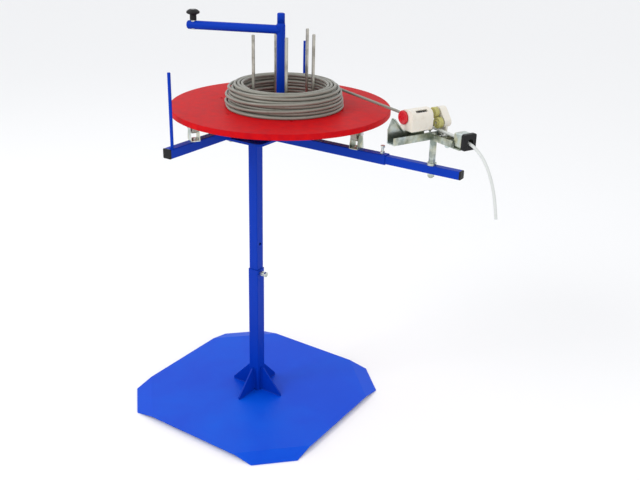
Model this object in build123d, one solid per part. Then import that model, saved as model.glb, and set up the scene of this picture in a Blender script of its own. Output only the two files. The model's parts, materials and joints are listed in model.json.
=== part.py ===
from build123d import *
import os
from math import acos, atan2, cos, degrees, hypot, pi, radians, sin, tan

os.makedirs("parts", exist_ok=True)

# A hand-cranked coiling turntable with a length-measuring head, in millimetres.
# The origin is on the floor under the post. The main beam runs along +X, the cross bar along Y.

# base and posts
base_side = 730
corner_cut = 108          # leg of the cut that ends each foot
corner_fold = 184         # leg of the line that each foot is folded down along
base_thick = 4
foot_bend = 13.5          # degrees
foot_ground = 0.8         # how much of each foot's edge is ground flat
lower_side, lower_wall, lower_top = 40, 2, 505
upper_side, upper_wall, upper_foot = 35, 2, 330
lock_holes = (380, 490, 600)
gusset_reach, gusset_rise, gusset_thick = 88, 92, 5

# arms
arm_side, arm_wall = 30, 2
arm_under = 985
cross_x = -54
cross_half = 358
beam_end = 496
head_plate_side, head_plate_thick = 160, 8
extension_side, extension_wall = 25, 2
extension_start, extension_end = 300, 737
guard_y, guard_radius, guard_top = 346, 5, 1243

# turntable
axis_x = 102
disc_radius, disc_thick, disc_top = 350, 18, 1106
spindle_radius, spindle_top = 10, 1387
pin_circle, pin_radius, pin_top = 107, 5, 1333
pin_phase = 15
pin_places = (0, 1, 2, 4, 5)        # of six places, one is left empty
spare_circle = 205
caster_circle = 286
caster_wheel = 25

# coil and cable
cable_radius = 4.5
coil_shift = 8
coil_inner, coil_outer = 125, 196
coil_top_inner, coil_top_outer = 84, 66

# crank
pipe_radius, pipe_wall = 13.45, 2.3
crank_turn = -157.3
crank_reach = 281
crank_height = 1339

# measuring head, which is drawn with its own X along the cable
post_x = 644
wing_x = 60
eye_x, eye_z, eye_radius, eye_wire = -33, 1117.2, 10.5, 2.8
head_turn = -23
head_floor = 1089.6
sheet = 3
cable_y = 13
wheel_radius = 16
roller_radius = 8
measure_x, measure_z = 1.5, 1137
counter_x, counter_z = -19, 1161.5
reset_x, reset_z = -32, 1157

gap = 0.3                 # between bodies that slide or turn past each other
run_fit = 0.08            # radial clearance of a running fit

arm_top = arm_under + arm_side
arm_mid = arm_under + arm_side / 2
plate_top = (corner_fold - corner_cut) / 2 ** 0.5 * tan(radians(foot_bend))
plate_top += base_thick * cos(radians(foot_bend)) - foot_ground
disc_under = disc_top - disc_thick
housing_screw, housing_foot = 40, 8        # the bearing housing's screws, from the axis
post_foot = arm_mid + extension_side / 2
under_wheel = measure_z - wheel_radius - cable_radius
leave_z = 1157            # the cable's height where it leaves the coil


def save(node, *solids):
    shape = solids[0] if len(solids) == 1 else Compound(children=list(solids))
    export_step(shape, f"parts/{node}.step")


def along_x(shape):
    return Rot(0, 90, 0) * shape


def along_y(shape):
    return Rot(-90, 0, 0) * shape


def in_yz(shape):
    """A flat shape drawn in X and Y, stood up in Y and Z."""
    return Rot(0, 0, 90) * Rot(90, 0, 0) * shape


def rod(radius, bottom, top, x=0, y=0):
    """A round bar that stands on Z."""
    return Pos(x, y, (bottom + top) / 2) * Cylinder(radius, top - bottom)


def block(x0, x1, y0, y1, z0, z1):
    """A box between two corners."""
    return Pos((x0 + x1) / 2, (y0 + y1) / 2, (z0 + z1) / 2) * Box(x1 - x0, y1 - y0, z1 - z0)


def square_tube(side, wall, length, corner=3.0):
    """A square tube from z = 0 up, with rounded corners."""
    bore = RectangleRounded(side - 2 * wall, side - 2 * wall, corner - wall + 0.2)
    return extrude(RectangleRounded(side, side, corner) - bore, length)


def hexagon(across, height):
    """A hexagon bar from z = 0 up, of the given width across its flats."""
    return extrude(RegularPolygon(across / 3 ** 0.5, 6), height)


def hex_screw(radius, length, across, head):
    """A hexagon-head screw: its head stands on z = 0 and its shank hangs down."""
    crown = hexagon(across, head)
    crown -= Pos(0, 0, head) * (Cylinder(across, 2) - Cone(across * 0.56, across * 0.5, 2))
    return crown + rod(radius, -length, 0)


def plan(points, height):
    """A flat outline on XY, raised by its height."""
    return extrude(make_face(Polyline(*points, close=True)), height)


def turned(profile):
    """A closed half profile of (radius, height) points, turned about Z."""
    return revolve(make_face(Polyline(*[(r, 0, z) for r, z in profile], close=True)), Axis.Z)


def round_about(count, shape, start=0):
    """The same solid repeated round Z."""
    return [Rot(0, 0, start + 360 / count * i) * shape for i in range(count)]


# The floor plate: its cut corners are folded down, and stand on the floor.
def make_base():
    half = base_side / 2
    inner = half - corner_fold
    outline = []
    for sx, sy in ((1, 1), (-1, 1), (-1, -1), (1, -1)):
        ends = [(sx * half, sy * inner), (sx * inner, sy * half)]
        outline += ends if sx * sy > 0 else ends[::-1]
    plate = Pos(0, 0, plate_top - base_thick) * plan(outline, base_thick)
    reach = (corner_fold - corner_cut) / 2 ** 0.5
    slant = reach / cos(radians(foot_bend))
    wide, narrow = corner_fold / 2 ** 0.5, corner_cut / 2 ** 0.5
    flap = plan([(0, -wide), (slant, -narrow), (slant, narrow), (0, wide)], base_thick)
    fold_at = half * 2 ** 0.5 - wide
    flap = Pos(fold_at, 0, plate_top) * Rot(0, foot_bend, 0) * Pos(0, 0, -base_thick) * flap
    for corner in round_about(4, flap, 45):
        plate += corner
    plate -= Pos(0, 0, -10) * Box(2 * base_side, 2 * base_side, 20)
    save("base_plate", plate)


def make_posts():
    lower = Pos(0, 0, plate_top) * square_tube(lower_side, lower_wall, lower_top - plate_top)
    lock_z = lock_holes[1]
    drill = Pos(lower_side / 2, 0, lock_z) * along_x(Cylinder(5.2, 3 * lower_wall))
    save("lower_post", lower - drill)

    face = lower_side / 2
    outline = [(face, 0), (face + gusset_reach, 0), (face + gusset_reach, 8), (face + 10, gusset_rise),
               (face, gusset_rise)]
    rib = plan(outline, gusset_thick)
    rib = Pos(0, gusset_thick / 2, plate_top) * Rot(90, 0, 0) * rib
    save("post_gussets", *round_about(4, rib))

    nut = hexagon(17, 8) - rod(5.2, -1, 9)
    screw = hex_screw(5, 20, 17, 7)
    save("height_lock", Pos(lower_side / 2, 0, lock_z) * along_x(nut),
         Pos(upper_side / 2 + gap + 20, 0, lock_z) * along_x(screw))

    upper = Pos(0, 0, upper_foot) * square_tube(upper_side, upper_wall, arm_under - head_plate_thick - upper_foot)
    for height in lock_holes:
        if height != lock_z:
            upper -= Pos(upper_side / 2, 0, height) * along_x(Cylinder(5.5, 3 * upper_wall))
    save("upper_post", upper)


def make_arms():
    half = head_plate_side / 2
    under = arm_under - head_plate_thick
    plate = plan([(half, -half + 14), (half, half - 14), (half - 14, half), (-half + 14, half), (-half, half - 14),
                  (-half, -half + 14), (-half + 14, -half), (half - 14, -half)], head_plate_thick)
    bolt_places = [(cross_x, -62), (cross_x, 62), (36, 0), (cross_x, 0)]
    bolts = []
    plate = Pos(0, 0, under) * plate
    cross = Pos(cross_x, -cross_half, arm_mid) * along_y(square_tube(arm_side, arm_wall, 2 * cross_half))
    beam_start = cross_x + arm_side / 2
    beam = Pos(beam_start, 0, arm_mid) * along_x(square_tube(arm_side, arm_wall, beam_end - beam_start))
    for x, y in bolt_places:
        drill = rod(4.3, under - 1, arm_top + 1, x, y)
        plate, cross, beam = plate - drill, cross - drill, beam - drill
        bolt = Pos(x, y, arm_top) * hex_screw(4.2, arm_side + head_plate_thick + 9, 13, 5.5)
        nut = Pos(x, y, under - 6.5) * (hexagon(13, 6.5) - rod(4.2, -1, 8))
        bolts += [bolt + nut]
    lock_x = beam_end - 16
    for x in (lock_x, axis_x - housing_screw, axis_x + housing_screw):
        beam -= rod(4.3, arm_mid, arm_top + 1, x, 0)
    for x, y in castor_places().values():
        drill = rod(4.3, arm_mid, arm_top + 1, axis_x + x, y)
        cross, beam = cross - drill, beam - drill
    save("head_plate", plate)
    save("cross_bar", cross)
    save("main_beam", beam)
    save("head_bolts", *bolts)

    nut = Pos(lock_x, 0, arm_top) * (hexagon(13, 7) - rod(4.3, -1, 8))
    screw = Pos(lock_x, 0, post_foot + gap + 22) * hex_screw(4, 22, 13, 5.5)
    save("extension_lock", nut, screw)

    caps = []
    for side in (-1, 1):
        lid = extrude(RectangleRounded(arm_side, arm_side, 3), 5)
        lid = chamfer(lid.faces().sort_by(Axis.Z)[-1].edges(), 1.2)
        lid += Pos(0, 0, -9) * square_tube(arm_side - 2 * arm_wall, 2, 12, 2.2)
        caps += [Pos(cross_x, side * cross_half, arm_mid) * Rot(-90 * side, 0, 0) * lid]
    save("cross_bar_caps", *caps)

    bar = rod(guard_radius, arm_top, guard_top)
    bar = fillet(bar.edges().sort_by(Axis.Z)[-1], 2)
    bar += rod(guard_radius + 3, arm_top, arm_top + 2.5)
    save("guard_bars", *[Pos(cross_x + 8, side * guard_y, 0) * bar for side in (-1, 1)])


def make_extension():
    length = extension_end - extension_start
    tube = Pos(extension_start, 0, arm_mid) * along_x(square_tube(extension_side, extension_wall, length, 2.6))
    tube -= rod(6.3, arm_under, arm_top, post_x)
    save("extension_tube", tube)
    lid = extrude(RectangleRounded(extension_side, extension_side, 2.6), 5)
    lid = chamfer(lid.faces().sort_by(Axis.Z)[-1].edges(), 1.2)
    lid += Pos(0, 0, -9) * square_tube(extension_side - 2 * extension_wall, 2, 12, 2.2)
    save("extension_cap", Pos(extension_end, 0, arm_mid) * along_x(lid))

    post = rod(10, post_foot, head_floor - gap) + rod(14, post_foot, post_foot + 7)
    post = post - rod(6.3, post_foot - 1, head_floor)
    save("meter_post", Pos(post_x, 0, 0) * post)
    under = arm_mid - extension_side / 2
    stud = rod(6, under - 14, head_floor + sheet + 13)
    nut = Pos(post_x, 0, under - 10) * (hexagon(19, 10) - rod(6, -1, 11))
    washer = Pos(0, 0, head_floor + sheet + gap) * (Cylinder(10.3, 2, align=(Align.CENTER, Align.CENTER, Align.MIN)))
    washer -= rod(6, head_floor, head_floor + 20)
    dome = hexagon(18, 7) + Pos(0, 0, 7) * turned([(0, 0), (8.5, 0), (6.5, 5.5), (0, 7)])
    dome = Pos(0, 0, head_floor + sheet + gap + 2) * dome - rod(6, head_floor, head_floor + sheet + 14)
    at = Pos(post_x, 0, 0)
    save("meter_post_bolt", at * stud, nut, at * washer, at * dome)


# One fixed castor stands with its wheel up on each arm, and the disc's rim runs on it.
def castor_places():
    back = cross_x - axis_x
    side = (caster_circle ** 2 - back ** 2) ** 0.5
    return {"right": (caster_circle, 0), "left": (back, -side), "rear": (back, side)}


def make_castors():
    """The three castors, and the short screws that hold them and the bearing housing down."""
    axle_height = disc_under - gap - caster_wheel - arm_top
    ear_inside, ear_thick = 12.4, 2.5
    reach = ear_inside + ear_thick
    brackets, axles, screws = [], [], []
    ear = make_face(Polyline((-19, 0), (19, 0), (10, axle_height), (-10, axle_height), close=True))
    ear += Pos(0, axle_height) * Circle(10)
    ear -= Pos(0, axle_height) * Circle(4)
    rim, hub = caster_wheel, 4 + run_fit
    tread = turned([(hub, -11.8), (9, -11.8), (10, -7), (17, -6), (19, -9.5), (rim - 3, -10), (rim, -7),
                    (rim, 7), (rim - 3, 10), (19, 9.5), (17, 6), (10, 7), (9, 11.8), (hub, 11.8)])
    axle = Pos(0, 0, -reach) * extrude(Circle(4), 2 * reach)
    axle += Pos(0, 0, reach) * hexagon(13, 5) + Pos(0, 0, -reach - 5) * hexagon(13, 5)
    for name, (x, y) in castor_places().items():
        place = Pos(axis_x + x, y, arm_top) * Rot(0, 0, degrees(atan2(y, x)))
        bracket = extrude(RectangleRounded(2 * reach, 40, 4), ear_thick)
        for side in (-1, 1):
            leaf = extrude(ear, ear_thick / 2, both=True)
            bracket += Pos(side * (ear_inside + ear_thick / 2), 0, 0) * in_yz(leaf)
        brackets += [place * (bracket - rod(4.2, -1, ear_thick + 1))]
        screws += [place * Pos(0, 0, ear_thick) * hex_screw(4.2, ear_thick + arm_wall, 13, 5)]
        axles += [place * Pos(0, 0, axle_height) * along_x(axle)]
        save(f"castor_wheel_{name}", place * Pos(0, 0, axle_height) * along_x(tread))
    save("castor_brackets", *brackets)
    save("castor_axles", *axles)
    for x in (-housing_screw, housing_screw):
        screws += [Pos(axis_x + x, 0, arm_top + housing_foot) * hex_screw(4.2, housing_foot + arm_wall, 13, 5.5)]
    save("arm_screws", *screws)


def make_bearings():
    """The housing on the main beam, with a ball bearing at each end of its bore."""
    at = Pos(axis_x, 0, 0)
    bore, wall, width, top = 21, 7, 12, arm_top + 55
    foot = extrude(RectangleRounded(96, arm_side + 16, 8), housing_foot)
    body = Pos(0, 0, arm_top) * foot + rod(bore + wall, arm_top, top)
    body = body - rod(bore, arm_top + 6, top + 1) - rod(13, arm_top - 1, arm_top + 7)
    for x in (-housing_screw, housing_screw):
        body -= rod(4.3, arm_top - 1, arm_top + 9, x, 0)
    save("bearing_housing", at * body)
    inner_race, outer_race, ball = 13.6, 17.4, 2.55
    outer = turned([(outer_race, 0), (bore, 0), (bore, width), (outer_race, width), (outer_race, 9),
                    (outer_race + 1, 6), (outer_race, 3)])
    inner = turned([(spindle_radius, 0), (inner_race, 0), (inner_race, 3), (inner_race - 1, 6), (inner_race, 9),
                    (inner_race, width), (spindle_radius, width)])
    balls = [place * Sphere(ball) for place in round_about(8, Pos((inner_race + outer_race) / 2, 0, width / 2))]
    bottoms = (arm_top + 6, top - width)
    save("bearing_inner_rings", *[at * Pos(0, 0, z) * inner for z in bottoms])
    save("outer_rings_and_balls", *[at * Pos(0, 0, z) * one for z in bottoms for one in [outer] + balls])


def make_turntable():
    at = Pos(axis_x, 0, 0)
    disc = rod(disc_radius, disc_under, disc_top)
    disc = fillet(disc.edges().filter_by(GeomType.CIRCLE), 2.5)
    disc -= rod(spindle_radius, disc_under - 1, disc_top + 1)
    flange = Pos(0, 0, disc_under - 8) * Cylinder(60, 8, align=(Align.CENTER, Align.CENTER, Align.MIN))
    flange = flange + rod(19, disc_under - 15, disc_under - 8)
    flange -= rod(spindle_radius, disc_under - 20, disc_top)
    collar = rod(30, disc_top, disc_top + 6)
    collar -= rod(spindle_radius, disc_top - 1, disc_top + 7)
    bolts = []
    for place in round_about(4, Pos(22.5, 0, 0), 45):
        drill = place * rod(3.2, disc_under - 9, disc_top + 7)
        disc, flange, collar = disc - drill, flange - drill, collar - drill
        bolts += [at * place * Pos(0, 0, disc_top + 6) * hex_screw(3.1, disc_thick + 14, 10, 4)]
    pins, nuts = [], []
    for i in range(6):
        ray = Rot(0, 0, pin_phase + 60 * i)
        disc -= ray * rod(pin_radius, disc_under - 1, disc_top + 1, spare_circle)
        disc -= ray * rod(pin_radius, disc_under - 1, disc_top + 1, pin_circle)
        if i in pin_places:
            pin = rod(pin_radius, disc_under - 10, pin_top, pin_circle)
            pin = fillet(pin.edges().sort_by(Axis.Z)[-1], 1.5)
            pins += [at * ray * pin]
            low = Pos(pin_circle, 0, disc_under - 8) * (hexagon(17, 8) - rod(pin_radius, -1, 9))
            high = rod(7.4, disc_top, disc_top + 5, pin_circle) - rod(pin_radius, disc_top, disc_top + 6, pin_circle)
            nuts += [at * ray * low, at * ray * high]
    save("turntable_disc", at * disc)
    save("hub_flange", at * flange)
    save("hub_collar", at * collar)
    save("hub_bolts", *bolts)
    save("winding_pins", *pins)
    save("pin_nuts", *nuts)
    spindle = rod(spindle_radius, arm_top + 4, spindle_top)
    spindle = chamfer(spindle.edges().sort_by(Axis.Z)[-1], 2)
    dog_z = disc_top + 14
    spindle -= Pos(0, 0, dog_z) * along_x(Cylinder(4, 40))
    save("spindle", at * spindle)
    save("drive_pin", at * Pos(0, 0, dog_z) * along_x(Cylinder(4, 36)))


def make_crank():
    """The crank drops over the spindle, and its notched foot takes the drive pin."""
    at = Pos(axis_x, 0, 0)
    foot, shoulder, tip = disc_top + 8, 1352, 1360
    inner = pipe_radius - pipe_wall
    guide = spindle_radius + gap
    sleeve = turned([(inner, foot), (pipe_radius, foot), (pipe_radius, shoulder), (guide + 1.6, tip), (guide, tip),
                     (guide, shoulder - 6), (inner, shoulder - 8)])
    deep = disc_top + 14 - foot + 1
    notch = Box(40, 8 + 2 * gap, deep, align=(Align.CENTER, Align.CENTER, Align.MIN))
    notch += Pos(0, 0, deep) * along_x(Cylinder(4 + gap, 40))
    notch = Pos(0, 0, foot - 1) * notch
    save("crank_sleeve", at * (sleeve - notch))
    swing = at * Pos(0, 0, crank_height) * Rot(0, 0, crank_turn)
    end = crank_reach + 14
    outside = extrude(Circle(pipe_radius), end)
    bore = extrude(Circle(inner), end)
    arm = along_x(outside - bore) - Cylinder(pipe_radius, 60)
    stub = rod(8.5, -pipe_radius - 1, pipe_radius + 1, crank_reach)
    save("crank_arm", swing * (arm - stub))
    plug = extrude(Circle(pipe_radius), 4)
    plug = fillet(plug.edges().sort_by(Axis.Z)[-1], 3.5)
    plug += Pos(0, 0, -8) * extrude(Circle(inner - 0.1), 9)
    save("crank_arm_plug", swing * Pos(end, 0, 0) * along_x(plug) - swing * rod(8.5, -20, 20, crank_reach))
    shaft = rod(8.5, -pipe_radius, pipe_radius + 1) + rod(4, pipe_radius, pipe_radius + 32)
    shaft += rod(6.5, pipe_radius + 32, pipe_radius + 34.5)
    save("knob_pin", swing * Pos(crank_reach, 0, 0) * shaft)
    low = pipe_radius + 1 + gap
    stem, cap = 10.5, 21
    bore = 4 + run_fit
    side = Spline((stem, 0, 12), (stem + 1.5, 0, 17), (cap - 1, 0, 21), (cap, 0, 23.5), (cap - 3, 0, 28.5))
    dome = Spline((cap - 3, 0, 28.5), (14, 0, 31.5), (7, 0, 33.5))
    walls = Polyline((7, 0, 33.5), (7, 0, 30.6), (bore, 0, 30.6), (bore, 0, 0), (stem, 0, 0), (stem, 0, 12))
    knob = revolve(make_face([side, dome, walls]), Axis.Z)
    save("crank_knob", swing * Pos(crank_reach, 0, low) * knob)


def make_coil():
    """The coil of cable, as the solid that its turns fill."""
    low, r0, r1 = disc_top, coil_inner, coil_outer
    outline = [(r0 + 3, low), (r1 - 2, low), (r1, low + 6), (r1 - 3, low + coil_top_outer - 6),
               (r1 - 9, low + coil_top_outer), (r0 + 22, low + coil_top_inner), (r0 + 4, low + coil_top_inner),
               (r0, low + coil_top_inner - 5), (r0, low + 4)]
    save("cable_coil", Pos(axis_x + coil_shift, 0, 0) * turned(outline))


head = Pos(post_x, 0, 0) * Rot(0, 0, head_turn)


def make_meter_frame():
    """A folded channel that carries the counter, and a shorter one at right angles for the cable."""
    z0, z1 = head_floor, head_floor + sheet
    back, front = -30, 2
    near, far, end = -14, 40, 92
    floor = block(back, front, -146, far, z0, z1) + block(back, 124, near, far, z0, z1)
    frame = floor
    frame += block(back, back + sheet, -146, near, z0, z0 + 29.4)
    frame += block(back, back + sheet, near, far, z0, z0 + 12)
    frame += block(front - sheet, front, -146, near + sheet, z0, z0 + 22)
    frame += block(front - sheet, end, near, near + sheet, z0, z0 + 19)
    frame += block(back, end, far - sheet, far, z0, z0 + 19)
    frame -= rod(6 + run_fit, z0 - 1, z1 + 1)
    pin_x, pin_z = support_place()
    frame -= Pos(pin_x, (near + far) / 2, pin_z) * along_y(Cylinder(2.5, 80))
    frame -= rod(3 + run_fit, z0 - 1, z1 + 1, wing_x, cable_y)
    save("meter_frame", head * frame)
    peak = [(-146, 0), (-93, 0), (-129, 41), (-133, 41), (-146, 12)]
    leaf = Pos(back, 0, z0 + 29.4) * in_yz(plan(peak, sheet))
    rise, run = 41, 36
    lean = degrees(atan2(rise, run))
    lip_length = hypot(rise, run)
    lip = Rot(-lean, 0, 0) * Box(9, lip_length, 2.5, align=(Align.MIN, Align.MAX, Align.MAX))
    leaf += Pos(back + sheet, -93, z0 + 29.4) * lip
    save("end_gusset", head * leaf)


# The counter: a moulded case on a bracket, with number drums behind a slot in its shoulder.
def make_counter():
    y0, y1 = -88, -14
    bracket = block(-46, 1, y0 + 4, y1 - 4, 1119, 1122)
    save("counter_bracket", head * bracket)
    under, crown, half = 1122, 1181, 27
    case = RectangleRounded(2 * half, crown - under + 12, 22)
    case = Pos(counter_x, (crown + under - 12) / 2) * case
    case &= Pos(counter_x, (crown + under) / 2) * Rectangle(2 * half, crown - under)
    shell = Pos(0, y1, 0) * Rot(90, 0, 0) * extrude(case, y1 - y0)
    shaft_at = Pos(counter_x, 0, counter_z)
    tunnel = Pos(0, -30, 0) * along_y(Cylinder(3.1, 100))
    drum_room = along_y(Cylinder(16.4, 46))
    slot = Rot(0, 48, 0) * Box(9, 42, 60, align=(Align.CENTER, Align.CENTER, Align.MIN))
    shell -= shaft_at * (tunnel + Pos(0, -50, 0) * (drum_room + slot))
    shell -= Pos(reset_x, y0, reset_z) * along_y(Cylinder(3.1, 24))
    save("counter_case", head * shell)
    drums = []
    for i in range(5):
        drum = along_y(Cylinder(15.5, 7.4) - Cylinder(3.4 if i < 4 else 3, 9))
        drums += [head * shaft_at * Pos(0, -66.8 + 8.4 * i, 0) * drum]
    save("slow_drums", *drums[:4])
    save("units_drum", drums[4])
    spin = along_y(extrude(Circle(3), 118))
    save("counter_shaft", head * shaft_at * Pos(0, -78, 0) * spin)
    knob = turned([(3, 0), (20, 0), (20, 3.5), (18, 5.5), (8, 6.5), (0, 6.5), (0, 4), (3, 4)])
    ridges = Pos(20.6, 0, 2.2) * Cylinder(1.6, 4)
    for ridge in round_about(24, ridges):
        knob -= ridge
    knob += rod(3, -9, 4.5)
    save("reset_knob", head * Pos(reset_x, y0 - 1.2, reset_z) * Rot(90, 0, 0) * knob)


def tyred_wheel(radius, bore, width):
    return turned([(bore, -width / 2), (radius - 1.5, -width / 2), (radius, -width / 2 + 1.5),
                   (radius, width / 2 - 1.5), (radius - 1.5, width / 2), (bore, width / 2)])


def support_place():
    """Where the roller under the cable turns, as X and Z of the head."""
    return measure_x + 20, measure_z - wheel_radius - 2 * cable_radius - roller_radius - 3 * gap


def make_rollers():
    """The tyred wheel that the cable turns, the one that it drives, and the roller under the cable."""
    wheel_y = cable_y - 1
    contact = wheel_radius - 0.06
    for name, x, z in (("measuring_wheel", measure_x, measure_z), ("counter_wheel", counter_x, counter_z)):
        bore = 3 if name == "counter_wheel" else 3 + run_fit
        wheel = tyred_wheel(contact, bore, 15) + tyred_wheel(8, bore, 17)
        save(name, head * Pos(x, wheel_y, z) * along_y(wheel))
    axle = along_y(extrude(Circle(3), 32))
    pin_x, pin_z = support_place()
    pin = along_y(extrude(Circle(2.5), 58))
    save("roller_pins", head * Pos(measure_x, wheel_y - 10, measure_z) * axle,
         head * Pos(pin_x, cable_y - 31, pin_z) * pin)
    hole, lip = 2.5 + run_fit, roller_radius + 2
    groove = turned([(hole, -11), (lip, -11), (lip, -8.5), (roller_radius, -5.5), (roller_radius, 5.5), (lip, 8.5),
                     (lip, 11), (hole, 11)])
    save("support_roller", head * Pos(pin_x, cable_y, pin_z) * along_y(groove))

    lobes = Pos(measure_x, measure_z) * Circle(15.5) + Pos(counter_x, counter_z) * Circle(16.5)
    waist = make_hull(lobes.edges())
    y0, depth = 23, 26
    body = Pos(0, y0 + depth, 0) * Rot(90, 0, 0) * extrude(waist, depth)
    body = chamfer(body.faces().sort_by(Axis.Y)[-1].edges(), 2)
    body += block(-14, 14, 30, 37, head_floor + sheet, measure_z)
    body -= Pos(measure_x, y0 + 5, measure_z) * along_y(Cylinder(3, 12))
    body -= Pos(counter_x, y0 + 8, counter_z) * along_y(Cylinder(3 + run_fit, 24))
    save("roller_block", head * body)


def make_outlet():
    """The square guide tube with its bushed end cap, and the eye that the cable enters through."""
    z0 = head_floor + sheet
    x0, x1 = 92, 124
    side = 40
    tube = Pos(x0, cable_y, z0 + side / 2) * along_x(square_tube(side, 2, x1 - x0, 3.4))
    save("outlet_tube", head * tube)
    cap = extrude(RectangleRounded(46, 46, 6), 13)
    cap = chamfer(cap.faces().sort_by(Axis.Z)[-1].edges(), 2)
    cap += Pos(0, 0, -12) * square_tube(side - 4, 2.5, 14, 3.2)
    cap -= Cylinder(9.5, 60)
    save("outlet_cap", head * Pos(x1, cable_y, z0 + side / 2) * along_x(cap))
    ring = along_x(Torus(eye_radius, eye_wire)) + rod(eye_wire, head_floor - eye_z + 4, -eye_radius)
    save("inlet_eye", head * Pos(eye_x, cable_y, eye_z) * ring)
    wing = turned([(0, 0), (6, 0), (5, 7), (0, 7)]) + rod(3, 0, 18)
    for side_sign in (-1, 1):
        leaf = Pos(side_sign * 10, 0, -1) * Rot(90, 0, 0) * extrude(Ellipse(7.5, 5.5), 1.3, both=True)
        wing += leaf
    wing = Rot(0, 0, 35) * wing
    save("outlet_wing_screw", head * Pos(wing_x, cable_y, head_floor - 7.5) * wing)


def head_point(x, y, z):
    """A point of the measuring head, in the object's frame."""
    turn = radians(head_turn)
    return post_x + x * cos(turn) - y * sin(turn), x * sin(turn) + y * cos(turn), z


def cable_tube(node, route):
    """A tube along straight runs joined by arcs, each as large as its two runs allow."""
    corners, radii = [Vector(*p) for p in route], []
    for before, here, after in zip(corners, corners[1:], corners[2:]):
        turn = (here - before).get_angle(after - here)
        shorter = min((here - before).length, (after - here).length)
        radii += [0.45 * shorter / tan(radians(turn) / 2)]
    path = FilletPolyline(*corners, radius=radii) if radii else Line(*corners)
    tube = sweep(Plane(origin=path @ 0, z_dir=path % 0) * Circle(cable_radius), path)
    print(node, "radii", [round(r) for r in radii], "length", round(path.length),
          "volume share", round(tube.volume / (pi * cable_radius ** 2 * path.length), 4))
    save(node, tube)


# The taut cable from the coil to the head, and the rest of it through the head to its cut end.
def make_cable():
    centre_x = axis_x + coil_shift
    eye = Vector(*head_point(eye_x, cable_y, eye_z))
    off_coil = coil_outer + cable_radius + 2 * gap
    away = hypot(eye.X - centre_x, eye.Y)
    leave = radians(degrees(atan2(eye.Y, eye.X - centre_x)) + degrees(acos(off_coil / away)))
    start = Vector(centre_x + off_coil * cos(leave), off_coil * sin(leave), leave_z)
    back = (start - eye).normalized()
    split, entry = eye + back * 150, eye + back * 40
    cable_tube("cable_run", [start, split])
    cable_tube("cable_lead", [split, entry])
    inside = [(measure_x, under_wheel), (62, 1115), (106, 1112.6), (138, 1108.6)]
    hanging = [(164, 1099), (191, 1082), (216, 1054), (237, 1016), (252, 975), (262, 930)]
    route = [entry, eye] + [Vector(*head_point(x, cable_y, z)) for x, z in inside + hanging]
    print("cable points", [(round(p.X, 1), round(p.Y, 1), round(p.Z, 1)) for p in [start, split] + route])
    cable_tube("cable_tail", route)


for build in (make_base, make_posts, make_arms, make_extension, make_castors, make_bearings, make_turntable,
              make_crank, make_coil, make_meter_frame, make_counter, make_rollers, make_outlet, make_cable):
    build()
    print(build.__name__, "done")
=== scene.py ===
import bmesh
import bpy
import json
import random
from math import cos, pi, radians, sin, tau
from mathutils import Matrix, Vector


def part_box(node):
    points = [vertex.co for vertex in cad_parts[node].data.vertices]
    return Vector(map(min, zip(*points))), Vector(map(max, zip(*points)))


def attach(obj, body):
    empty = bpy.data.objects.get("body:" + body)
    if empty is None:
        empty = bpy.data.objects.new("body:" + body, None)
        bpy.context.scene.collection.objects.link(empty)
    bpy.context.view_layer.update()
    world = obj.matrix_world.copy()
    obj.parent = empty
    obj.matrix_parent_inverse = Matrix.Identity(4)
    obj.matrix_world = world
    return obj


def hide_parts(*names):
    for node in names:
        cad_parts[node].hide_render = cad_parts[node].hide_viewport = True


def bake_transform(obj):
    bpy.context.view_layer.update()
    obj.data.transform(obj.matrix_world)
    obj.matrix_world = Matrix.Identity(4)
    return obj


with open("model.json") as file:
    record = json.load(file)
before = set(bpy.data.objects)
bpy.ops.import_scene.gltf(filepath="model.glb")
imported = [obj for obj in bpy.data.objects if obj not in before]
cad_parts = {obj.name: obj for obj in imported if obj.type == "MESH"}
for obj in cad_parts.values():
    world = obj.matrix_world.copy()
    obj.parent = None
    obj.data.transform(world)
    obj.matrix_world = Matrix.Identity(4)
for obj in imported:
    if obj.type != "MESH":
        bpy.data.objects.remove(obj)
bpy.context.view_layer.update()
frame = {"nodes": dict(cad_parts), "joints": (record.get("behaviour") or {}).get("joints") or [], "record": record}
nodes = frame["nodes"]
joints = {joint["name"]: joint for joint in frame["joints"]}
print("frame loaded,", len(nodes), "nodes")


# camera, floor and light
view = {
    "spot": (1.6616, -2.1418, 1.7665),
    "turn": 33.12,       # degrees round Z, from looking along +Y
    "down": 23.05,
    "lean": 1.44,
    "lens": 47.68,       # millimetres, as is the sensor's width
    "sensor": 36,
}


def placeCamera():
    camera = bpy.data.objects.new("camera", bpy.data.cameras.new("camera"))
    camera.data.lens = view["lens"]
    camera.data.sensor_width = view["sensor"]
    turned = Matrix.Rotation(radians(view["turn"]), 4, "Z")
    tipped = Matrix.Rotation(radians(90 - view["down"]), 4, "X")
    leaned = Matrix.Rotation(radians(view["lean"]), 4, "Z")
    camera.matrix_world = Matrix.Translation(view["spot"]) @ turned @ tipped @ leaned
    bpy.context.scene.collection.objects.link(camera)
    bpy.context.scene.camera = camera


studio = {
    "floorSize": 60,
    "floorTone": (0.92, 0.92, 0.92),
    "floorGloss": 0.75,
    "skyTone": (0.97, 0.98, 1.0),
    "skyStrength": 0.98,
    # name: place, what it points at, width in metres, watts
    "lamps": {
        "keyLamp": ((-1.6, -3.2, 3.6), (0.2, 0, 0.9), 1.6, 62),
        "fillLamp": ((3.4, -2.2, 1.7), (0.3, 0, 0.8), 2.2, 16),
        "backLamp": ((-2.6, 1.6, 3.6), (0.1, 0, 1.0), 1.6, 10),
    },
}


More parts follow.
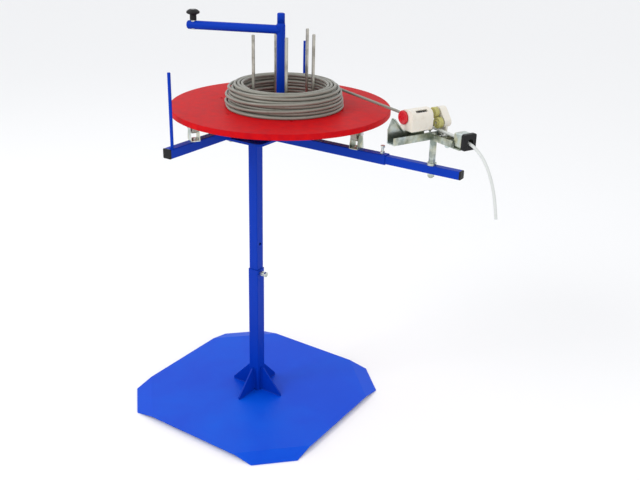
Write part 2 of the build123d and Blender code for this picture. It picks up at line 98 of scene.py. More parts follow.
def placeStudio():
    half = studio["floorSize"] / 2
    corners = [(-half, -half, 0), (half, -half, 0), (half, half, 0), (-half, half, 0)]
    mesh = bpy.data.meshes.new("floor")
    mesh.from_pydata(corners, [], [(0, 1, 2, 3)])
    floor = bpy.data.objects.new("floor", mesh)
    bpy.context.scene.collection.objects.link(floor)
    paint = bpy.data.materials.new("floorPaint")
    paint.use_nodes = True
    shader = paint.node_tree.nodes["Principled BSDF"]
    shader.inputs["Base Color"].default_value = (*studio["floorTone"], 1)
    shader.inputs["Roughness"].default_value = studio["floorGloss"]
    mesh.materials.append(paint)
    world = bpy.data.worlds.new("studio")
    bpy.context.scene.world = world
    world.use_nodes = True
    sky = world.node_tree.nodes["Background"]
    sky.inputs["Color"].default_value = (*studio["skyTone"], 1)
    sky.inputs["Strength"].default_value = studio["skyStrength"]
    for name, (spot, target, width, watts) in studio["lamps"].items():
        lamp = bpy.data.objects.new(name, bpy.data.lights.new(name, "AREA"))
        lamp.data.size = width
        lamp.data.energy = watts
        lamp.location = spot
        lamp.rotation_euler = (Vector(target) - Vector(spot)).to_track_quat("-Z", "Y").to_euler()
        bpy.context.scene.collection.objects.link(lamp)
    bpy.context.scene.view_settings.view_transform = "Standard"


placeCamera()
placeStudio()
print("camera and studio placed")


# places on the measuring head, from the joints of the record
swivel = Vector(joints["meter_swivel"]["pos_m"])
acrossHead = Vector(joints["measuring_wheel_roll"]["axis"])
alongHead = Vector((acrossHead.y, -acrossHead.x, 0))


def headPoint(along, across, height):
    spot = Vector((swivel.x, swivel.y, 0)) + alongHead * along + acrossHead * across
    return Vector((spot.x, spot.y, height))


# the cable: a loose coil, the taut run to the head, and the end that hangs from the outlet
cable = {
    "radius": 0.0045,
    "across": 0.013,         # of the head, where the cable passes through it
    # from the coil to the place over the extension tube where the run is split
    "run": [(0.1803, 0.1884, 1.1405), (0.26982, 0.15501, 1.13732), (0.37426, 0.116055, 1.13361),
            (0.4787, 0.0771, 1.1299)],
    # from the split to the head
    "lead": [(0.4787, 0.0771, 1.1299), (0.53005, 0.05795, 1.12525), (0.5814, 0.0388, 1.1206)],
    # along the head and up, from its inlet to its outlet
    "through": [(-0.033, 1.1172), (0.0015, 1.1165), (0.062, 1.115), (0.106, 1.1126), (0.138, 1.1086)],
    "hanging": [(0.164, 1.099), (0.191, 1.082), (0.216, 1.054), (0.237, 1.016), (0.252, 0.975),
                (0.262, 0.930)],
    "runLength": 0.32,
    "leadLength": 0.11,
    "tailLength": 0.44,
    "stepsPerPoint": 4,
    "roundness": 5,
}
coil = {
    "rowPitch": 0.0104,
    "clearOfDisc": 0.0004,
    "stepsPerTurn": 24,
    "length": 32.2,
    # each row from the top down: its middle, inner and outer radius, and whole turns
    "rows": [
        ((0.116, 0.000), 0.1325, 0.1655, 3),
        ((0.117, 0.001), 0.1305, 0.1760, 4),
        ((0.117, 0.001), 0.1310, 0.1815, 5),
        ((0.117, 0.001), 0.1300, 0.1840, 5),
        ((0.118, 0.001), 0.1315, 0.1850, 5),
        ((0.118, 0.001), 0.1305, 0.1865, 5),
        ((0.118, 0.001), 0.1330, 0.1880, 5),
    ],
    "wander": 0.0013,    # how far a turn strays in its own plane
    "heave": 0.0011,     # and out of it
    "fall": 0.34,        # share of a turn over which a row drops to the next
    "cutInside": 0.75,   # makes up for the spline, which cuts a little inside its points
    "innerEnd": {"turns": 0.30, "radius": 0.1215, "height": 1.148},
    # the last stretch finds its radius soon and climbs to where the cable leaves late
    "outerEnd": {"turns": 0.42, "middle": (0.110, 0.0), "soon": 2.2, "late": 0.25},
    "seed": 7,
}


def smooth(share):
    share = min(max(share, 0.0), 1.0)
    return share * share * (3 - 2 * share)


# loose turns: each has an offset and a tilt of its own, and passes softly into the next
def straySteps(count, perTurn):
    dice = random.Random(coil["seed"])
    turns = count // perTurn + 2
    offsets = [[dice.uniform(-1, 1) for draw in range(4)] for turn in range(turns)]
    strays = []
    for i in range(count):
        turn, share = divmod(i / perTurn, 1)
        now, later = offsets[int(turn)], offsets[int(turn) + 1]
        strays += [[a + (b - a) * smooth(share) for a, b in zip(now, later)]]
    return strays


def around(middle, reach, angle, height):
    return Vector((middle[0] + reach * cos(angle), middle[1] + reach * sin(angle), height))


# from the inner end up to the top row
def innerStretch(angle, topZ):
    end = coil["innerEnd"]
    middle, inner = coil["rows"][0][:2]
    count = int(end["turns"] * coil["stepsPerTurn"])
    stretch = []
    for i in range(count):
        share = smooth(i / count)
        reach = end["radius"] + (inner - end["radius"]) * share
        height = end["height"] + (topZ - end["height"]) * share
        stretch += [around(middle, reach, angle - i * tau / coil["stepsPerTurn"], height)]
    return stretch


# one row, wound outwards or inwards by turns, that drops to the next one at its end
def coilRow(index, angle, topZ, strays):
    perTurn = coil["stepsPerTurn"]
    middle, inner, outer, turns = coil["rows"][index]
    first, last = (inner, outer) if index % 2 == 0 else (outer, inner)
    lowest = index == len(coil["rows"]) - 1
    grow = 1 / cos(pi / perTurn) ** coil["cutInside"]
    row = []
    for i in range(turns * perTurn):
        down = 0 if lowest else 1 - smooth((turns - i / perTurn) / coil["fall"])
        height = topZ - coil["rowPitch"] * (index + down)
        push, spare, heave, lean = strays[i]
        if not lowest:
            height += coil["heave"] * heave * cos(angle + 3 * lean)
        radius = first + (last - first) * i / (turns * perTurn)
        reach = (radius + coil["wander"] * push * cos(angle + 2 * lean)) * grow
        row += [around(middle, reach, angle, height)]
        angle -= tau / perTurn
    return row


# from the lowest row out to where the cable leaves the coil
def outerStretch(start, lastAngle, leaves):
    end = coil["outerEnd"]
    middle = Vector(end["middle"])
    near, far = (start.xy - middle).length, (leaves.xy - middle).length
    count = int(end["turns"] * coil["stepsPerTurn"])
    stretch = []
    for i in range(1, count):
        share = i / count
        reach = near + (far - near) * smooth(share * end["soon"])
        height = start.z + (leaves.z - start.z) * smooth(share * (1 + end["late"]) - end["late"])
        stretch += [around(middle, reach, lastAngle + (1 - share) * end["turns"] * tau, height)]
    return stretch + [leaves]


# the whole coil, wound clockwise from the inner end
def coilRoute():
    perTurn, rows = coil["stepsPerTurn"], coil["rows"]
    leaves = Vector(cable["run"][0])
    away = leaves.xy - Vector(coil["outerEnd"]["middle"])
    lastAngle = Vector((1, 0)).angle_signed(away) * -1
    turns = coil["innerEnd"]["turns"] + sum(row[3] for row in rows) + coil["outerEnd"]["turns"]
    firstAngle = lastAngle + turns * tau
    strays = straySteps(int(turns * perTurn) + 2, perTurn)
    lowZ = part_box("turntable_disc")[1].z + cable["radius"] + coil["clearOfDisc"]
    topZ = lowZ + coil["rowPitch"] * (len(rows) - 1)
    route = innerStretch(firstAngle, topZ)
    for index in range(len(rows)):
        angle = firstAngle - len(route) * tau / perTurn
        route += coilRow(index, angle, topZ, strays[len(route):])
    return route + outerStretch(route[-1], lastAngle, leaves)


def cableCurve(name, route):
    curve = bpy.data.curves.new(name, "CURVE")
    curve.dimensions = "3D"
    spline = curve.splines.new("NURBS")
    spline.points.add(len(route) - 1)
    for point, place in zip(spline.points, route):
        point.co = (*place, 1)
    spline.order_u = 3
    spline.use_endpoint_u = True
    curve.resolution_u = cable["stepsPerPoint"]
    curve.bevel_resolution = cable["roundness"]
    line = bpy.data.objects.new(name, curve)
    bpy.context.scene.collection.objects.link(line)
    return line


# the mesh that a curve or a text shows
def meshOf(shape):
    bpy.context.view_layer.update()
    return bpy.data.meshes.new_from_object(shape.evaluated_get(bpy.context.evaluated_depsgraph_get()))


# a mesh tube that follows the spline of a route
def cableTube(name, route):
    line = cableCurve(name + "Line", [Vector(place) for place in route])
    path = [vertex.co.copy() for vertex in meshOf(line).vertices]
    line.data.bevel_depth = cable["radius"]
    line.data.use_fill_caps = True
    tube = meshOf(line)
    bpy.data.objects.remove(line)
    tube.name = name
    for face in tube.polygons:
        face.use_smooth = True
    piece = bpy.data.objects.new(name, tube)
    bpy.context.scene.collection.objects.link(piece)
    return piece, path


def layCable():
    entry = Vector(cable["lead"][-1])
    wound, path = cableTube("cableCoil", coilRoute())
    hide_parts("cable_coil")
    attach(wound, "turntable")
    run, path = cableTube("cableRun", cable["run"])
    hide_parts("cable_run")
    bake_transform(run)
    lead, path = cableTube("cableLead", cable["lead"])
    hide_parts("cable_lead")
    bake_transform(lead)
    route = [headPoint(along, cable["across"], up) for along, up in cable["through"] + cable["hanging"]]
    tail, path = cableTube("cableTail", [entry] + route)
    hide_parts("cable_tail")
    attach(tail, "meter_head")
    return {"grey_cable": [wound, run, lead], "pale_cable": [tail]}


cords = layCable()
print("cable laid")


# forms that are added to the CAD: lathe work, weld seams, threads and drum figures
added = {}


def addPiece(name, builder, body, slotName, smoothFaces=True):
    mesh = bpy.data.meshes.new(name)
    bmesh.ops.recalc_face_normals(builder, faces=builder.faces)
    builder.to_mesh(mesh)
    builder.free()
    for face in mesh.polygons:
        face.use_smooth = smoothFaces
    piece = bpy.data.objects.new(name, mesh)
    bpy.context.scene.collection.objects.link(piece)
    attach(piece, body)
    added.setdefault(slotName, []).append(piece)
    return piece


# unit vectors all round a direction and square to it
def spokesRound(direction, count):
    first = direction.orthogonal().normalized()
    second = direction.cross(first).normalized()
    return [first * cos(tau * i / count) + second * sin(tau * i / count) for i in range(count)]


# faces from one ring of corners to the next; a ring may hold one corner many times
def bridge(builder, near, far):
    for i in range(len(near)):
        corners = []
        for corner in (near[i], near[i - 1], far[i - 1], far[i]):
            if corner not in corners:
                corners += [corner]
        if len(corners) > 2:
            builder.faces.new(corners)


# turns a closed profile of (radius, distance) points about a line
def lathe(builder, profile, foot, direction, steps=40):
    rings = []
    for radius, along in profile:
        if radius == 0:
            rings += [[builder.verts.new(foot + direction * along)] * steps]
        else:
            spokes = spokesRound(direction, steps)
            rings += [[builder.verts.new(foot + direction * along + spoke * radius) for spoke in spokes]]
    for near, far in zip(rings, rings[1:] + rings[:1]):
        bridge(builder, near, far)


# where the crank arm leaves the sleeve's axis, which way it goes and how far away its knob is
def crankArm():
    axis = Vector(joints["turntable_spin"]["pos_m"])
    knob = Vector(joints["knob_spin"]["pos_m"])
    low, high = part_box("crank_arm")
    outwards = Vector((knob.x - axis.x, knob.y - axis.y, 0)).normalized()
    return Vector((axis.x, axis.y, (low.z + high.z) / 2)), outwards, (knob.xy - axis.xy).length


crankEnds = {
    "bore": 0.0102,
    "wall": 0.0019,
    "intoSleeve": 0.0012,
    "neckTop": 0.0022,       # over the spindle's tip
    "lid": 0.0014,
    # the neck's rounded edge, as distances in from its side and down from its top
    "edge": [(0.0002, 0.0032), (0.0011, 0.0009), (0.0032, 0)],
    "pipeRadius": 0.01345,
    "pastKnob": 0.0141,      # from the knob's axis to the dome
    "domeHeight": 0.0075,
    "domeSteps": 8,
    "fullness": 0.7,         # 1 makes the dome an ellipse, less a squarer form
}


# the painted neck over the spindle's tip, and the domed end of the arm
def makeCrankEnds():
    start, outwards, knobAway = crankArm()
    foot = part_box("crank_sleeve")[1].z - crankEnds["intoSleeve"]
    bore = crankEnds["bore"]
    outer = bore + crankEnds["wall"]
    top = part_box("spindle")[1].z + crankEnds["neckTop"] - foot
    under = top - crankEnds["lid"]
    edge = [(outer - inwards, top - down) for inwards, down in crankEnds["edge"]]
    profile = [(bore, 0), (outer, 0)] + edge + [(0, top), (0, under), (bore, under)]
    builder = bmesh.new()
    lathe(builder, profile, Vector((start.x, start.y, foot)), Vector((0, 0, 1)))
    addPiece("crankNeck", builder, "crank", "blue_paint")
    radius, dome, steps = crankEnds["pipeRadius"], crankEnds["domeHeight"], crankEnds["domeSteps"]
    turns = [i / steps * pi / 2 for i in range(steps)]
    edge = [(radius * cos(turn) ** crankEnds["fullness"], dome * sin(turn)) for turn in turns]
    builder = bmesh.new()
    centre = start + outwards * (knobAway + crankEnds["pastKnob"])
    lathe(builder, [(0, 0)] + edge + [(0, dome)], centre, outwards)
    end = addPiece("crankArmEnd", builder, "crank", "blue_paint")
    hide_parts("crank_arm_plug")


weld = {
    "radius": 0.0026,
    "ripple": 0.0022,        # from one ripple to the next
    "ringsPerRipple": 4,
    "swell": 0.16,
    "uneven": 0.04,
    "endSize": 0.35,         # of a seam's end rings; further in they grow by endGrowth
    "endGrowth": 0.3,
    "spokes": 10,
    "seed": 11,
    "outOfBore": 0.001,      # how far the foot's seams stay out from the post's side
    "ribSide": 0.0025,       # half the thickness of a gusset
    "besideRib": 0.006,
    "fromCorner": 0.004,     # where a gusset's seams start, from the post's foot
    "beforeTip": 0.002,
    "beforeEdge": 0.003,     # where the seams round a square tube stop
    "headSize": 1.1,
    "crankSize": 0.7,
    "crankSteps": 24,
    "overPipe": 0.0002,
}


# a seam of weld ripples along a line of points
def weldSeam(builder, line, dice, size=1.0):
    points = [Vector(point) for point in line]
    perRipple, uneven = weld["ringsPerRipple"], weld["uneven"]
    for start, end in zip(points, points[1:]):
        spokes = spokesRound((end - start).normalized(), weld["spokes"])
        count = max(perRipple, int((end - start).length / weld["ripple"] * perRipple))
        rings = []
        for i in range(count + 1):
            place = start + (end - start) * (i / count)
            ripple = 1 + weld["swell"] * (i / perRipple % 1) + dice.uniform(-uneven, uneven)
            taper = min(1, weld["endSize"] + min(i, count - i) * weld["endGrowth"])
            radius = weld["radius"] * size * ripple * taper
            rings += [[builder.verts.new(place + spoke * radius) for spoke in spokes]]
        for near, far in zip(rings, rings[1:]):
            bridge(builder, near, far)
        builder.faces.new(rings[0])
        builder.faces.new(rings[-1])


# one quarter turn after another about the upright axis
def quarterTurns():
    return [Matrix.Rotation(quarter * pi / 2, 3, "Z") for quarter in range(4)]


def makeWelds():
    dice = random.Random(weld["seed"])
    foot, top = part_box("post_gussets")
    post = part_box("lower_post")[1].x
    face = post + weld["outOfBore"]
    inner, tip, edge = weld["fromCorner"], weld["beforeTip"], weld["beforeEdge"]
    builder = bmesh.new()
    for turned in quarterTurns():
        for side in (-1, 1):
            rib, beside = side * weld["ribSide"], side * weld["besideRib"]
            floorLine = [(face + inner, rib, foot.z), (top.x - tip, rib, foot.z)]
            postLine = [(face, rib, foot.z + inner), (face, rib, top.z - tip)]
            footLine = [(face, beside, foot.z), (face, side * (post - edge), foot.z)]
            for line in (floorLine, postLine, footLine):
                weldSeam(builder, [turned @ Vector(point) for point in line], dice)
    addPiece("footWelds", builder, "stand", "blue_paint")
    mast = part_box("upper_post")[1].x
    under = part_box("head_plate")[0].z
    line = [Vector((mast, -mast + edge, under)), Vector((mast, mast - edge, under))]
    builder = bmesh.new()
    for turned in quarterTurns():
        weldSeam(builder, [turned @ point for point in line], dice, weld["headSize"])
    addPiece("headWelds", builder, "mast", "blue_paint")
    start, outwards = crankArm()[:2]
    across = Vector((-outwards.y, outwards.x, 0))
    radius = crankEnds["pipeRadius"] + weld["overPipe"]
    line = []
    for i in range(weld["crankSteps"] + 1):
        turn = tau * i / weld["crankSteps"]
        side, rise = radius * cos(turn), radius * sin(turn)
        line += [start + across * side + outwards * abs(rise) + Vector((0, 0, rise))]
    builder = bmesh.new()
    weldSeam(builder, line, dice, weld["crankSize"])
    addPiece("crankWeld", builder, "crank", "blue_paint")


thread = {
    "depth": 0.00045,
    "clear": 0.00005,        # of the shank it lies on
    "stepsPerTurn": 20,
    "rowsPerPitch": 4,
    # the shank's radius, the pitch, and where the thread starts and stops
    "stud": {"radius": 0.006, "pitch": 0.00175, "lift": 0.0002, "length": 0.0038},
    "extensionLock": {"radius": 0.004, "pitch": 0.00125, "overNut": 0.0072, "underHead": 0.0056},
    "heightLock": {"radius": 0.005, "pitch": 0.0015, "overNut": 0.0082, "underHead": 0.0072},
}


# a screw thread as a thin sleeve with a ridge that winds round it
def threadSleeve(name, body, screw, foot, direction, length):
    pitch, steps = screw["pitch"], thread["stepsPerTurn"]
    spokes = spokesRound(direction, steps)
    rows = int(length / pitch * thread["rowsPerPitch"])
    builder = bmesh.new()
    rings = []
    for row in range(rows + 1):
        along = length * row / rows
        fade = min(1, along / pitch, (length - along) / pitch)
        ring = []
        for i, spoke in enumerate(spokes):
            phase = (along / pitch - i / steps) % 1
            ridge = 1 - abs(2 * phase - 1)
            reach = screw["radius"] + thread["clear"] + thread["depth"] * ridge * fade
            ring += [builder.verts.new(foot + direction * along + spoke * reach)]
        rings += [ring]
    for near, far in zip(rings, rings[1:]):
        bridge(builder, near, far)
    addPiece(name, builder, body, "zinc_fastener")


def makeThreads():
    up, outwards = Vector((0, 0, 1)), Vector((1, 0, 0))
    screw = thread["stud"]
    foot = Vector((swivel.x, swivel.y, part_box("meter_post_bolt")[0].z + screw["lift"]))
    threadSleeve("studThread", "extension", screw, foot, up, screw["length"])
    screw = thread["extensionLock"]
    low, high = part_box("extension_lock")
    foot = (low + high) / 2
    foot.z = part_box("main_beam")[1].z + screw["overNut"]
    length = high.z - screw["underHead"] - foot.z
    threadSleeve("extensionLockThread", "mast", screw, foot, up, length)
    screw = thread["heightLock"]
    low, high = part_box("height_lock")
    foot = (low + high) / 2
    foot.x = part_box("lower_post")[1].x + screw["overNut"]
    length = high.x - screw["underHead"] - foot.x
    threadSleeve("heightLockThread", "stand", screw, foot, outwards, length)


drums = {
    "first": -0.0668,        # across the head, of the slowest drum
    "apart": 0.0084,
    "radius": 0.0155,
    "figureHeight": 0.0072,
    "relief": 0.00006,
    "clear": 0.00008,        # of the drum
    "windowTurn": 48,        # degrees from upright to the middle of the slot
    "reading": (0, 0, 1, 2, 4),
    # the slow drums belong to the head, the units drum to the counter's shaft
    "pieces": {"meter_head": "drumFigures", "counter_drive": "unitsFigures"},
}


# figures from 0 to 9 wrapped round each drum
def makeFigures():
    axle = Vector(joints["counter_drive_roll"]["pos_m"])
    offset = (axle - swivel).dot(acrossHead)
    lean = radians(drums["windowTurn"])
    window = alongHead * sin(lean) + Vector((0, 0, cos(lean)))
    upright = -alongHead * cos(lean) + Vector((0, 0, sin(lean)))
    radius = drums["radius"]
    builders = {body: bmesh.new() for body in drums["pieces"]}
    units = len(drums["reading"]) - 1
    for place, shown in enumerate(drums["reading"]):
        body = "counter_drive" if place == units else "meter_head"
        centre = axle + acrossHead * (drums["first"] + place * drums["apart"] - offset)
        for figure in range(10):
            text = bpy.data.curves.new("figure", "FONT")
            text.body = str(figure)
            text.size = drums["figureHeight"]
            text.align_x, text.align_y = "CENTER", "CENTER"
            text.extrude = drums["relief"]
            holder = bpy.data.objects.new("figure", text)
            bpy.context.scene.collection.objects.link(holder)
            flat = meshOf(holder)
            bpy.data.objects.remove(holder)
            turned = (shown - figure) * tau / 10
            for vertex in flat.vertices:
                x, y, z = vertex.co
                turn = turned + y / radius
                out = window * cos(turn) + upright * sin(turn)
                vertex.co = centre + acrossHead * x + out * (radius + drums["clear"] + z)
            builders[body].from_mesh(flat)
            bpy.data.meshes.remove(flat)
    for body, builder in builders.items():
        addPiece(drums["pieces"][body], builder, body, "cream_case", smoothFaces=False)


makeCrankEnds()
makeWelds()
makeThreads()
makeFigures()
print("added pieces:", sum(len(pieces) for pieces in added.values()))


# a socket of a node, so that sums on it add Math nodes
class Signal:
    def __init__(self, finish, socket):
        self.finish = finish
        self.socket = socket

    def maths(self, operation, first, second):
        return self.finish.node("ShaderNodeMath", {"operation": operation}, {0: first, 1: second})

    def __add__(self, other):
        return self.maths("ADD", self, other)

    def __mul__(self, other):
        return self.maths("MULTIPLY", self, other)

    __radd__ = __add__
    __rmul__ = __mul__


# one material: its nodes are all made by node()
class Finish:
    def __init__(self, name, **even):
        self.material = bpy.data.materials.new(name)
        self.material.use_nodes = True
        self.tree = self.material.node_tree
        self.shader = self.tree.nodes["Principled BSDF"]
        for socket, value in even.items():
            self.shader.inputs[socket.replace("_", " ")].default_value = value
        self.place = self.node("ShaderNodeTexCoord", out="Object")

    def node(self, kind, settings=None, sockets=None, out=0):
        made = self.tree.nodes.new(kind)
        for setting, value in (settings or {}).items():
            if setting == "stops":
                self.setStops(made.color_ramp, value)
            else:
                setattr(made, setting, value)
        for key, value in (sockets or {}).items():
            if isinstance(value, Signal):
                self.tree.links.new(value.socket, made.inputs[key])
            else:
                made.inputs[key].default_value = value
        return Signal(self, made.outputs[out])

    def setStops(self, ramp, stops):
        while len(ramp.elements) < len(stops):
            ramp.elements.new(0.5)
        for element, (place, tone) in zip(ramp.elements, stops):
            element.position = place
            element.color = (tone, tone, tone, 1)

    def noise(self, scale, detail, roughness, stretch=None):
        place = self.place
        if stretch:
            place = self.node("ShaderNodeMapping", {}, {"Vector": place, "Scale": stretch})
        sockets = {"Vector": place, "Scale": scale, "Detail": detail, "Roughness": roughness}
        return self.node("ShaderNodeTexNoise", {}, sockets)

    def ramp(self, value, stops):
        return self.node("ShaderNodeValToRGB", {"stops": stops}, {"Fac": value})

    def blendTone(self, share, first, second):
        colours = [tone if isinstance(tone, Signal) else (*tone, 1) for tone in (first, second)]
        sockets = {"Factor": share, 6: colours[0], 7: colours[1]}
        return self.node("ShaderNodeMix", {"data_type": "RGBA"}, sockets, out=2)

    def cells(self, scale):
        sockets = {"Vector": self.place, "Scale": scale}
        return self.node("ShaderNodeTexVoronoi", {}, sockets, out="Distance")

    def feed(self, socket, signal):
        self.tree.links.new(signal.socket, self.shader.inputs[socket])

    def bump(self, height, depth, strength):
        sockets = {"Height": height, "Distance": depth, "Strength": strength}
        self.feed("Normal", self.node("ShaderNodeBump", {}, sockets))


# sprayed enamel: deep, a little uneven, with orange peel and fine dust
bluePaint = {
    "tone": (0.0, 0.040, 0.44),
    "deepTone": (0.0, 0.028, 0.34),
    "dustTone": (0.02, 0.12, 0.60),
    "gloss": 0.34,
    "peel": 0.00012,
}


def makeBluePaint():
    paint = Finish("bluePaint", Specular_IOR_Level=0.10)
    clouds = paint.noise(scale=5.5, detail=5, roughness=0.62)
    specks = paint.ramp(paint.noise(scale=330, detail=2, roughness=0.6), [(0.62, 0), (0.76, 1)])
    drift = paint.ramp(paint.noise(scale=2.3, detail=4, roughness=0.7), [(0.42, 0), (0.72, 1)])
    tone = paint.blendTone(clouds, bluePaint["deepTone"], bluePaint["tone"])
    tone = paint.blendTone(specks * drift * 0.5, tone, bluePaint["dustTone"])
    paint.feed("Base Color", tone)
    paint.feed("Roughness", bluePaint["gloss"] + clouds * 0.10 + specks * drift * 0.3)
    paint.bump(paint.noise(scale=260, detail=3, roughness=0.5), depth=bluePaint["peel"], strength=0.35)
    return paint.material


# the floor plate's enamel: the same paint, but with painted light: its tones are lighter than the blue paint's to
# stand for the light on the plate's upward face; scuffed by boots and spattered by light dust
floorPaint = {
    # tone and deepTone: the blue paint's tones lightened, as painted light on the upward face
    "tone": (0.0, 0.072, 0.66),
    "deepTone": (0.0, 0.054, 0.56),
    "scuffTone": (0.0, 0.15, 0.76),
    "gloss": 0.36,
    "peel": 0.00015,
}


def makeFloorPaint():
    paint = Finish("litFloorPlatePaint", Specular_IOR_Level=0.14)
    clouds = paint.noise(scale=3.2, detail=6, roughness=0.65)
    worn = paint.ramp(paint.noise(scale=1.7, detail=5, roughness=0.7), [(0.45, 0), (0.68, 1)])
    grains = paint.ramp(paint.cells(210), [(0.05, 1), (0.16, 0)])
    grains = grains * paint.ramp(paint.noise(scale=60, detail=2, roughness=0.5), [(0.5, 0), (0.62, 1)])
    streaks = paint.noise(scale=26, detail=5, roughness=0.7, stretch=(0.25, 3.2, 1))
    streaks = paint.ramp(streaks, [(0.60, 0), (0.70, 1)])
    # painted light: the plate's lighter tones make it a lit copy of the blue paint
    tone = paint.blendTone(clouds, floorPaint["deepTone"], floorPaint["tone"])
    tone = paint.blendTone(worn * 0.28 + grains * worn * 0.6, tone, floorPaint["scuffTone"])
    paint.feed("Base Color", tone)
    paint.feed("Roughness", floorPaint["gloss"] + worn * 0.12 + streaks * 0.10 + grains * 0.2)
    pits = paint.noise(scale=180, detail=3, roughness=0.5)
    paint.bump(pits + streaks * 0.4, depth=floorPaint["peel"], strength=0.3)
    return paint.material


# bright zinc, passivated: silver with a yellow and green cast that drifts
zinc = {
    "silver": (0.66, 0.70, 0.66),
    "straw": (0.46, 0.45, 0.28),
    "ice": (0.48, 0.62, 0.68),
    "shade": (0.13, 0.17, 0.14),
    "gloss": 0.20,
    "grain": 0.00006,
}


def makeZinc(name, cast):
    plate = Finish(name, Metallic=1.0)
    drift = plate.noise(scale=14, detail=4, roughness=0.6)
    patch = plate.ramp(plate.noise(scale=30, detail=3, roughness=0.5), [(0.48, 0), (0.62, 1)])
    tone = plate.blendTone(plate.ramp(drift, [(0.40, 0), (0.62, 1)]) * cast, zinc["silver"], zinc["straw"])
    tone = plate.blendTone(patch * 0.45 * cast, tone, zinc["ice"])
    clouds = plate.ramp(plate.noise(scale=19, detail=5, roughness=0.62), [(0.46, 0), (0.60, 1)])
    tone = plate.blendTone(clouds * 0.75 * cast, tone, zinc["shade"])
    plate.feed("Base Color", tone)
    rolled = plate.noise(scale=500, detail=2, roughness=0.5, stretch=(1, 0.08, 0.08))
    plate.feed("Roughness", zinc["gloss"] + drift * 0.14 + rolled * 0.08)
    dents = plate.noise(scale=90, detail=3, roughness=0.6)
    plate.bump(rolled + dents * 0.5, depth=zinc["grain"], strength=0.4)
    return plate.material


# turned or drawn steel with fine rings or streaks
def makeSteel(name, tone, dullTone, gloss, stretch):
    steel = Finish(name, Metallic=1.0)
    streaks = steel.noise(scale=300, detail=4, roughness=0.6, stretch=stretch)
    stain = steel.ramp(steel.noise(scale=22, detail=5, roughness=0.65), [(0.46, 0), (0.70, 1)])
    steel.feed("Base Color", steel.blendTone(stain * 0.7 + streaks * 0.2, tone, dullTone))
    steel.feed("Roughness", gloss + stain * 0.15 + streaks * 0.10)
    steel.bump(streaks, depth=0.00005, strength=0.5)
    return steel.material


# the disc: a red film over board, rubbed round by the cables that are wound on it
redFilm = {
    "tone": (0.56, 0.002, 0.005),
    "deepTone": (0.40, 0.0, 0.008),
    "rubTone": (0.66, 0.012, 0.008),
    "gloss": 0.42,
    "grain": 0.00018,
    "ringsPerMetre": 420,
}


def makeRedFilm():
    film = Finish("redFilm", Specular_IOR_Level=0.05)
    axis = Vector(joints["turntable_spin"]["pos_m"])
    hub = (axis.x, axis.y, 0)
    place = film.node("ShaderNodeVectorMath", {"operation": "SUBTRACT"}, {0: film.place, 1: hub})
    flat = film.node("ShaderNodeVectorMath", {"operation": "MULTIPLY"}, {0: place, 1: (1, 1, 0)})
    reach = film.node("ShaderNodeVectorMath", {"operation": "LENGTH"}, {0: flat}, out="Value")
    sockets = {"W": reach, "Scale": redFilm["ringsPerMetre"], "Detail": 4}
    rings = film.node("ShaderNodeTexNoise", {"noise_dimensions": "1D"}, sockets)
    mottle = film.noise(scale=38, detail=5, roughness=0.66)
    clouds = film.noise(scale=4.5, detail=4, roughness=0.6)
    rubbed = film.ramp(rings, [(0.50, 0), (0.66, 1)])
    rubbed = rubbed * film.ramp(film.noise(scale=7, detail=4, roughness=0.6), [(0.42, 0), (0.66, 1)])
    tone = film.blendTone(film.ramp(mottle, [(0.35, 0), (0.68, 1)]), redFilm["deepTone"], redFilm["tone"])
    tone = film.blendTone(clouds * 0.35 + rubbed * 0.3, tone, redFilm["rubTone"])
    film.feed("Base Color", tone)
    film.feed("Roughness", redFilm["gloss"] + rubbed * 0.14 + mottle * 0.10)
    dents = film.noise(scale=160, detail=2, roughness=0.5)
    film.bump(mottle + dents * 0.5, depth=redFilm["grain"], strength=0.35)
    return film.material


# a smooth cable sheath with handling marks, or the paler one of the end
def makeSheath(name, tone, dullTone):
    sheath = Finish(name, Sheen_Weight=0.08)
    drift = sheath.noise(scale=9, detail=4, roughness=0.6)
    marks = sheath.ramp(sheath.noise(scale=75, detail=5, roughness=0.7), [(0.52, 0), (0.72, 1)])
    sheath.feed("Base Color", sheath.blendTone(drift * 0.8 + marks * 0.35, tone, dullTone))
    sheath.feed("Roughness", 0.36 + marks * 0.18 + drift * 0.08)
    sheath.bump(sheath.noise(scale=420, detail=3, roughness=0.55), depth=0.00008, strength=0.4)
    return sheath.material


# moulded plastic with a fine spark-eroded grain
def makePlastic(name, tone, agedTone, gloss, grain=0.00006, **even):
    plastic = Finish(name, **even)
    drift = plastic.noise(scale=16, detail=4, roughness=0.6)
    smudge = plastic.ramp(plastic.noise(scale=48, detail=5, roughness=0.7), [(0.50, 0), (0.75, 1)])
    plastic.feed("Base Color", plastic.blendTone(drift * 0.6 + smudge * 0.4, tone, agedTone))
    plastic.feed("Roughness", gloss + smudge * 0.14 + drift * 0.06)
    plastic.bump(plastic.noise(scale=900, detail=2, roughness=0.5), depth=grain, strength=0.5)
    return plastic.material


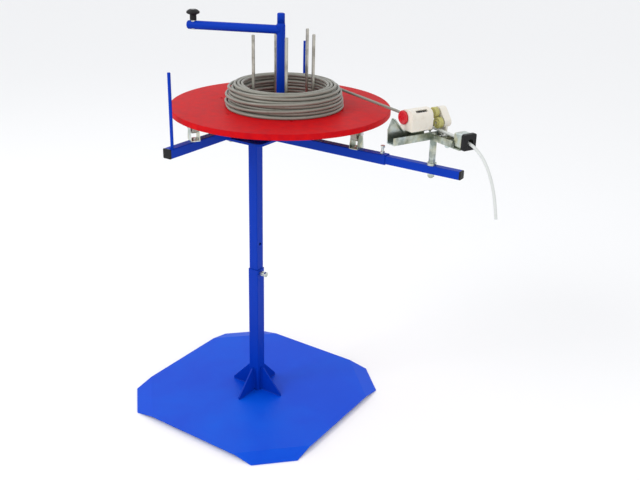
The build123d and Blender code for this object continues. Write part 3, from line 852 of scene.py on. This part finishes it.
finishes = {
    "blue_paint": makeBluePaint(),
    "zinc_fastener": makeZinc("zincFastener", cast=0.55),
    "zinc_plate": makeZinc("zincPlate", cast=0.9),
    "steel": makeSteel("turnedSteel", (0.60, 0.61, 0.62), (0.36, 0.35, 0.33),
                       gloss=0.22, stretch=(0.2, 0.2, 3)),
    "pin_steel": makeSteel("drawnSteel", (0.52, 0.51, 0.45), (0.20, 0.20, 0.17),
                           gloss=0.30, stretch=(2, 2, 0.05)),
    "roller_steel": makeSteel("rollerSteel", (0.62, 0.62, 0.60), (0.40, 0.40, 0.36),
                              gloss=0.20, stretch=(0.2, 0.2, 3)),
    "castor_tread": makePlastic("castorTread", (0.40, 0.38, 0.31), (0.22, 0.20, 0.16),
                                gloss=0.34, grain=0.0001),
    "red_disc": makeRedFilm(),
    "black_plastic": makePlastic("blackPlastic", (0.006, 0.006, 0.007), (0.016, 0.016, 0.017),
                                 gloss=0.42, grain=0.00012, Specular_IOR_Level=0.2),
    "cream_case": makePlastic("creamCase", (0.80, 0.76, 0.68), (0.62, 0.56, 0.46), gloss=0.30,
                              Subsurface_Weight=0.1, Subsurface_Radius=(0.004, 0.003, 0.002)),
    "drum_black": makePlastic("drumBlack", (0.015, 0.015, 0.016), (0.03, 0.03, 0.03), gloss=0.30),
    "red_knob": makePlastic("redKnob", (0.60, 0.006, 0.016), (0.42, 0.004, 0.012), gloss=0.24,
                            Coat_Weight=0.2),
    "olive_tyre": makePlastic("oliveTyre", (0.50, 0.47, 0.16), (0.34, 0.31, 0.09), gloss=0.26,
                              Subsurface_Weight=0.35, Subsurface_Radius=(0.006, 0.005, 0.002)),
}
finishes["grey_cable"] = makeSheath("greySheath", (0.27, 0.265, 0.225), (0.16, 0.155, 0.125))
finishes["pale_cable"] = makeSheath("paleSheath", (0.66, 0.68, 0.66), (0.52, 0.54, 0.52))
# the base plate gets a lit copy of the blue paint: painted light on its upward face
litPlateFinish = {"base_plate": makeFloorPaint()}
for part in frame["record"]["subparts"]:
    finish = litPlateFinish.get(part["node"], finishes[part["material_slot"]])
    mesh = nodes[part["node"]].data
    mesh.materials.clear()
    mesh.materials.append(finish)
for slotName, pieces in list(cords.items()) + list(added.items()):
    for piece in pieces:
        piece.data.materials.append(finishes[slotName])
